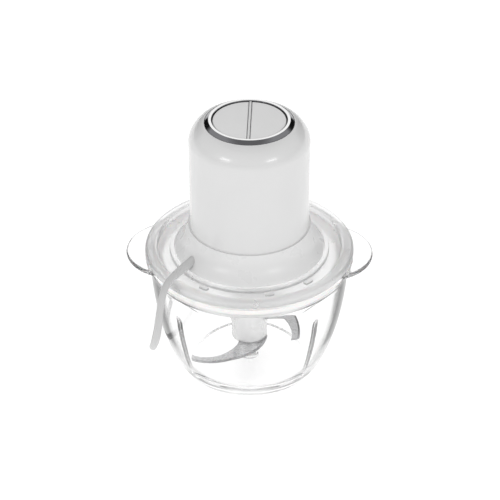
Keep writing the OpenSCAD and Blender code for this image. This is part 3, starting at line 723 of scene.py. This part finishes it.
def make_bowl(materials):
    bowl = clear(piece("bowl_body", turned(bowl_section, bowl_angles(), False), "bowl",
                       materials["bowl_glass"], ["glass_bowl"], sharp=50))
    # the pressed ribs are marked so that the glass material paints shade on them
    wall = bezier(INNER_WALL, WALL_STEPS)
    mark = bowl.data.attributes.new("rib", "FLOAT", "POINT")
    for k, vertex in enumerate(bowl.data.vertices):
        x, y, z = (c / MM for c in vertex.co)
        near = min(range(len(wall)), key=lambda i: abs(wall[i][1] - z))
        t = near / WALL_STEPS
        if math.hypot(x, y) < wall[near][0] + 1 and rib_height(t) > 0:
            bump = rib_bump(math.degrees(math.atan2(y, x)), t)
            mark.data[k].value = min(1, 2.5 * rib_height(t) * bump)


# ---- lid --------------------------------------------------------------------------

def make_lid(materials):
    low, high = span("lid")
    top, reach = high.z, high.x
    ring = rounded([
        (17, low.z, 0.6), (19.5, low.z, 0.6), (19.5, 114.5, 1.0), (76.5, 114.5, 1.2),
        (76.5, 104, 0.6), (80, 104, 0.8), (80, 107, 0.3), (78.2, 107, 0.3), (78.2, 111, 0.3),
        (80, 111, 0.3), (80, 116.3, 0.6), (reach, 116.3, 0.9), (reach, top, 2.9),
        (78.5, top, 2.4), (78.5, 117.5, 0.8), (67.9, 117.5, 0.6), (67.9, 121, 0.5),
        (64.1, 121, 0.4), (64.1, 117.5, 0.4), (17, 117.5, 0.8)], steps=6)
    outline = rounded([(69.2, -4, 0.8), (73.4, -4, 0.8), (73.4, 4, 0.8), (69.2, 4, 0.8)],
                      steps=4)
    tabs = [moved(pillow(outline, 116.5, 119.1, 0.5), rotation(a)) for a in (240, 285, 315)]
    clear(piece("lid_moulding", joined(turned(ring, 240), *tabs), "lid",
                materials["lid_clear"], ["lid"], sharp=40))


# ---- motor unit -------------------------------------------------------------------

SCREW_R = 44         # ring of screws that hold the housing on the skirt
POST_R = 38          # ring of posts that the gear case stands on
STEM_X = 15          # a button's stem, over its switch


def half_moon(r, flat, count=72):
    """Outline of a half disc to the right of x = flat."""
    edge = math.degrees(math.acos(flat / r))
    return arc(0, 0, r, -edge, edge, count)


def inset(outline, by):
    """A closed convex outline, moved inwards by a distance."""
    count = len(outline)
    result = []
    for i in range(count):
        here, before, after = (Vector(outline[k % count]) for k in (i, i - 1, i + 1))
        a, b = (here - before).normalized(), (after - here).normalized()
        na, nb = Vector((-a.y, a.x)), Vector((-b.y, b.x))
        between = (na + nb).normalized()
        result.append(tuple(here + between * by / max(0.3, between.dot(na))))
    return result


def pillow(outline, low, high, edge, steps=6):
    """A plate with this outline: square below, and a rounded edge on top."""
    sections = [[(x, y, low) for x, y in outline]]
    for k in range(steps + 1):
        a = 90 * k / steps
        ring = inset(outline, edge * (1 - cos(a)))
        sections.append([(x, y, high - edge + edge * sin(a)) for x, y in ring])
    return loft(sections)


def make_button(side, materials):
    """A half-moon cap with its skirt and the stem that goes down into the switch."""
    node = "high_button" if side > 0 else "low_button"
    low, high = span(node)
    wall_out = half_moon(30.4, 1.4)
    wall_in = inset(wall_out, 1.6)
    cap = pillow(wall_out, high.z - 4, high.z, 0.9)
    z0, z1 = 234.0, high.z - 3.9
    wall = loft([[(x, y, z0) for x, y in wall_out], [(x, y, z1) for x, y in wall_out],
                 [(x, y, z1) for x, y in wall_in], [(x, y, z0) for x, y in wall_in],
                 [(x, y, z0) for x, y in wall_out]], caps=False)
    stem = rounded([(0, low.z, 0), (2, low.z, 0.4), (2, 236.5, 0.3), (3.2, 236.5, 0.3),
                    (3.2, 239.2, 0), (0, 239.2, 0)], closed=False)
    shape = joined(cap, wall, moved(turned(stem, 40, False), shift(STEM_X, 0)))
    if side < 0:
        shape = moved(shape, rotation(180))
    piece(node + "_cap", shape, node, materials["button_plastic"], [node])


def ring_places(r, start=0):
    """Four places round the axis."""
    return [(r * cos(start + 90 * k), r * sin(start + 90 * k)) for k in range(4)]


def shoulder(width, height, top_r, top_z, power, count):
    """From the top edge of the housing out and down to its upright wall."""
    return [(top_r + width * sin(90 * k / count) ** (2 / power),
             top_z - height + height * cos(90 * k / count) ** (2 / power))
            for k in range(count + 1)]


def make_housing(materials):
    """The upper shell, with a boss for each screw."""
    wall = bezier([(52.1, 135.67), (50.9, 140), (50.4, 145), (50.4, 152)], 14)
    wall += shoulder(13.1, 17, 37.3, span("motor_housing")[1].z, 1.6, 40)[::-1]
    inside = [(37.3, 238.2), (33.9, 238.2), (33.9, 235.5), (37.3, 235.5)]
    inside += shoulder(11.2, 14.8, 37.8, 234.6, 1.6, 16)
    inside += [(48.2, 217), (44.5, 217), (44.5, 215), (48.2, 212), (48.2, 135.65),
               (52, 135.65)]
    boss = [(1.3, 126.4), (4.6, 126.4), (4.6, 152), (0, 152), (0, 148), (1.3, 148)]
    bosses = [moved(turned(boss, 32), shift(x, y)) for x, y in ring_places(SCREW_R)]
    piece("housing_shell", joined(turned(wall + inside, 256), *bosses), "motor_unit",
          materials["white_plastic"], ["motor_housing"])


def make_bezel(materials):
    top = span("bezel_ring")[1].z
    section = rounded([(31, 232, 0), (33.5, 232, 0), (33.5, 238.5, 0), (36.9, 238.5, 0),
                       (36.9, 241.3, 0.25), (34.2, top - 0.45, 0.15), (33.7, top, 0.3),
                       (31.1, top, 0.6)], steps=6)
    piece("bezel_trim", turned(section, 240), "motor_unit", materials["chrome"],
          ["bezel_ring"], sharp=40)


def cut(shape, cutters):
    """The shape, with the volumes of the cutters taken away."""
    made = []
    for points, faces in (shape, cutters):
        mesh = bpy.data.meshes.new("cut")
        mesh.from_pydata(points, [], faces)
        built = bmesh.new()
        built.from_mesh(mesh)
        bmesh.ops.recalc_face_normals(built, faces=built.faces)
        built.to_mesh(mesh)
        built.free()
        made.append(bpy.data.objects.new("cut", mesh))
        bpy.context.scene.collection.objects.link(made[-1])
    boolean = made[0].modifiers.new("cut", "BOOLEAN")
    boolean.operation = "DIFFERENCE"
    boolean.solver = "EXACT"
    boolean.object = made[1]
    graph = bpy.context.evaluated_depsgraph_get()
    mesh = bpy.data.meshes.new_from_object(made[0].evaluated_get(graph))
    result = [tuple(v.co) for v in mesh.vertices], [list(f.vertices) for f in mesh.polygons]
    for thing in made:
        bpy.data.meshes.remove(thing.data)
    bpy.data.meshes.remove(mesh)
    return result


def drum(r, z0, z1, x=0.0, y=0.0, count=32):
    """A round cutter or post."""
    return loft([[(x + r * cos(360 * k / count), y + r * sin(360 * k / count), z)
                  for k in range(count)] for z in (z0, z1)])


def make_skirt(materials):
    """The flared foot of the motor unit, with its floor, posts, slots and screw holes."""
    low, high = span("base_skirt")
    flare = [(63.5, 121), (60.5, 125.5), (53.5, 128), (52.1, high.z)]
    floor_top, wall = 120.2, 2.2
    section = rounded([(8, low.z, 0.3), (63.5, low.z, 0.7), (*flare[0], -1)])[:-2]
    section += bezier(flare, 30)
    section += bezier([(r - wall, z) for r, z in flare], 20)[::-1]
    section += [(61.3, floor_top), (11, floor_top), (11, 122.6), (8, 122.6)]
    cutters = []
    for x, y in ring_places(SCREW_R):
        cutters += [drum(1.8, low.z - 1, 127, x, y), drum(3.4, low.z - 1.2, 120, x, y)]
    outline = [(48, -1.2), (57, -1.2), (57, 1.2), (48, 1.2)]
    slot = loft([[(x, y, z) for x, y in outline] for z in (low.z - 1, floor_top + 1)])
    cutters += [moved(slot, rotation(a)) for a in range(15, 360, 15)
                if a % 45 and abs(a - 220) > 25]
    cutters.append(moved(drum(4.1, -18, 12, count=48), lead_place()))
    shell = cut(turned(section, 256), joined(*cutters))
    tube = [(1.8, 119.6), (4.6, 119.6), (4.6, 126.2), (1.8, 126.2)]
    posts = [moved(turned(tube, 40), shift(x, y)) for x, y in ring_places(SCREW_R)]
    post = [(0, 119.6), (4, 119.6), (4, 144), (1.2, 144), (1.2, 128), (0, 128)]
    posts += [moved(turned(post, 40, False), shift(x, y)) for x, y in ring_places(POST_R, 67.5)]
    piece("skirt_shell", joined(shell, *posts), "motor_unit", materials["skirt_plastic"],
          ["base_skirt"], sharp=34)


def make_bar(materials):
    low, high = span("bridge_bar")
    outline = [(high.x, low.y), (high.x, high.y), (low.x, high.y), (low.x, low.y)]
    piece("bridge_bar_cap", pillow(outline, low.z, high.z, 0.4), "motor_unit",
          materials["white_plastic"], ["bridge_bar"])


def make_spring(side, materials):
    node = "high_spring" if side > 0 else "low_spring"
    low, high = span(node)
    wire, coil_r, turns, steps = 0.45, 4.2, 5, 40
    z0, z1 = low.z + wire, high.z - wire
    sections = []
    for k in range(turns * steps + 1):
        a = 360 * k / steps
        z = z0 + (z1 - z0) * k / (turns * steps)
        out = Vector((cos(a), sin(a), 0))
        centre = Vector((side * STEM_X, 0, z)) + out * coil_r
        sections.append([tuple(centre + wire * (out * cos(b) + Vector((0, 0, 1)) * sin(b)))
                         for b in range(0, 360, 30)])
    spring = piece(node + "_wire", loft(sections), "motor_unit", materials["steel"],
                   [node])
    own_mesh(spring)


# ---- blade unit -------------------------------------------------------------------

BLADE_T = 1.5
BEND_X = -14
GROUND_W = 1.8       # width of the ground bevel along the cutting edge
EDGE_T = 0.15


def crossing(c0, r0, c1, r1, side):
    """Where two circles meet: the point on the given side of the line from c0 to c1."""
    between = c1 - c0
    d = between.length
    along = (r0 * r0 - r1 * r1 + d * d) / (2 * d)
    across = math.sqrt(r0 * r0 - along * along)
    between.normalize()
    return c0 + between * along + Vector((-between.y, between.x)) * across * side


def along_arc(centre, start, end, clockwise, step=1.2):
    """Points from start to end round a centre, without the last one."""
    r = (start - centre).length
    a0 = math.atan2(*(start - centre).yx)
    a1 = math.atan2(*(end - centre).yx)
    turn = (a1 - a0) % (2 * math.pi) - (2 * math.pi if clockwise else 0)
    count = max(2, int(abs(turn) * r / step))
    return [centre + Vector((math.cos(a0 + turn * k / count), math.sin(a0 + turn * k / count))) * r
            for k in range(count)]


def blade_shape(root_r, tip_x, slope):
    """A sickle between two arcs, ground thin along its convex edge and bent below its root."""
    outer_c, outer_r = Vector((-26.8, 4.2)), 43.1
    inner_c, inner_r = Vector((-33, -6.4)), 24.6
    tip_c, tip_r = Vector((tip_x, -28)), 39.3
    middle, hole_r = Vector((0, 0)), 6
    heel = Vector((outer_c.x + math.sqrt(outer_r ** 2 - (outer_c.y + 1) ** 2), -1))
    tip_out = crossing(outer_c, outer_r, tip_c, tip_r, -1)
    tip_in = crossing(inner_c, inner_r, tip_c, tip_r, -1)
    bite = crossing(inner_c, inner_r, middle, root_r, 1)
    shelf = Vector((math.sqrt(root_r ** 2 - 1), -1))
    outline = along_arc(outer_c, heel, tip_out, True)
    outline += along_arc(tip_c, tip_out, tip_in, True)
    outline += along_arc(inner_c, tip_in, bite, False)
    outline += along_arc(middle, bite, shelf, True) + [shelf]
    count = len(outline)
    tip_at = min(range(count), key=lambda k: (outline[k] - tip_out).length)
    # round the corner of the tip on the cutting edge
    for k in (tip_at - 1, tip_at, tip_at + 1):
        outline[k] = outline[k] * 0.5 + (outline[k - 1] + outline[k + 1]) * 0.25
    hole = [Vector((hole_r * cos(a), hole_r * sin(a))) for a in range(0, 360, 6)]
    heel_a = math.atan2(*(heel - outer_c).yx)

    def ground(p):
        """How wide the bevel is on the cutting edge nearest to p."""
        turn = (heel_a - math.atan2(*(p - outer_c).yx)) % (2 * math.pi)
        return GROUND_W * ease(turn / 0.35) if turn < math.pi else 0.0

    bevel = [outer_c + (p - outer_c) * (1 - ground(p) / outer_r) for p in outline[2:tip_at - 1]]
    points = outline + hole + bevel
    edges = [(k, (k + 1) % count) for k in range(count)]
    edges += [(count + k, count + (k + 1) % len(hole)) for k in range(len(hole))]
    start = count + len(hole)
    edges += [(start + k, start + k + 1) for k in range(len(bevel) - 1)]
    plan, _, triangles, *_ = delaunay_2d_cdt(points, edges, [], 1, 1e-4)
    triangles = [t for t in triangles if sum((plan[k] for k in t), Vector((0, 0))).length / 3
                 > hole_r - 0.1]
    used = sorted({k for t in triangles for k in t})
    index = {k: i for i, k in enumerate(used)}
    size = len(used)
    verts = [(*plan[k], 0.0) for k in used]
    for k in used:
        thin = max(0.0, ground(plan[k]) - (outer_r - (plan[k] - outer_c).length))
        verts.append((*plan[k], BLADE_T - (BLADE_T - EDGE_T) * min(1.0, thin / GROUND_W)))
    faces, sides = [], {}
    for t in triangles:
        a, b, c = (index[k] for k in t)
        faces += [(a + size, b + size, c + size), (c, b, a)]
        for edge in ((a, b), (b, c), (c, a)):
            sides[edge] = sides.get(edge[::-1], 0) == 0
            if not sides[edge]:
                sides[edge[::-1]] = False
    faces += [(a, b, b + size, a + size) for (a, b), open_side in sides.items() if open_side]
    built = bmesh.new()
    made = [built.verts.new(v) for v in verts]
    for face in faces:
        built.faces.new([made[k] for k in face])
    for k in range(-3, 4):
        geometry = built.verts[:] + built.edges[:] + built.faces[:]
        bmesh.ops.bisect_plane(built, geom=geometry, dist=1e-4, plane_co=(BEND_X + k, 0, 0),
                               plane_no=(1, 0, 0))
    fall = math.tan(math.radians(slope))
    for v in built.verts:
        past = BEND_X - v.co.x
        v.co.z -= fall * (past if past > 3 else (past + 3) ** 2 / 12 if past > -3 else 0)
    built.verts.index_update()
    shape = [tuple(v.co) for v in built.verts], [[v.index for v in f.verts] for f in built.faces]
    built.free()
    return shape


def make_blades(materials):
    # radius of the root, centre of the tip's arc, slope, place round the axis
    for node, root_r, tip_x, slope, angle in (("lower_blade", 14, -10, 9.5, 0),
                                              ("upper_blade", 10.4, -4, 13, 101)):
        foot = span(node)[1].z - BLADE_T
        shape = moved(blade_shape(root_r, tip_x, slope), shift(0, 0, foot), rotation(angle))
        piece(node + "_steel", shape, "blade_unit", materials["blade_steel"],
              [node], sharp=14)


def make_hub(materials):
    low, high = span("blade_hub")
    sleeve = rounded([(12.45, low.z, 0.4), (15.4, low.z, 1.6), (15.4, high.z, 0.8),
                      (12.45, high.z, 0.4)], steps=6)
    clear(piece("hub_sleeve", turned(sleeve, 128), "blade_unit", materials["sleeve_clear"],
                ["blade_hub"]))
    low, high = span("hub_core")

    def socket(angle):
        """Radius of the six-lobed socket at an angle."""
        off = (angle + 30) % 60 - 30
        ring_r, lobe_r = 6.8, 2.2
        across = ring_r * sin(off)
        if abs(across) > lobe_r:
            return ring_r
        return max(ring_r, ring_r * cos(off) + math.sqrt(lobe_r ** 2 - across ** 2))

    def section(angle):
        r = socket(angle)
        return rounded([(6, low.z, 0.3), (12.35, low.z, 1.4), (12.35, high.z, 0.8),
                        (r, high.z, 0.3), (r, 88, 0.2), (0.01, 88, -1), (0.01, 62, -1),
                        (6, 62, 0.2)], steps=4)

    piece("hub_core_moulding", turned(section, 180), "blade_unit", materials["core_plastic"],
          ["hub_core"])


# ---- everything -------------------------------------------------------------------

make_camera()
MATERIALS = make_materials()
lead = make_cord(MATERIALS)
make_strain_relief(MATERIALS)
plug = make_plug(MATERIALS)
make_studio()
dress_cad_nodes(MATERIALS)
make_bowl(MATERIALS)
make_lid(MATERIALS)
make_housing(MATERIALS)
make_skirt(MATERIALS)
make_bezel(MATERIALS)
make_bar(MATERIALS)
for side in (-1, 1):
    make_button(side, MATERIALS)
    make_spring(side, MATERIALS)
make_hub(MATERIALS)
make_blades(MATERIALS)
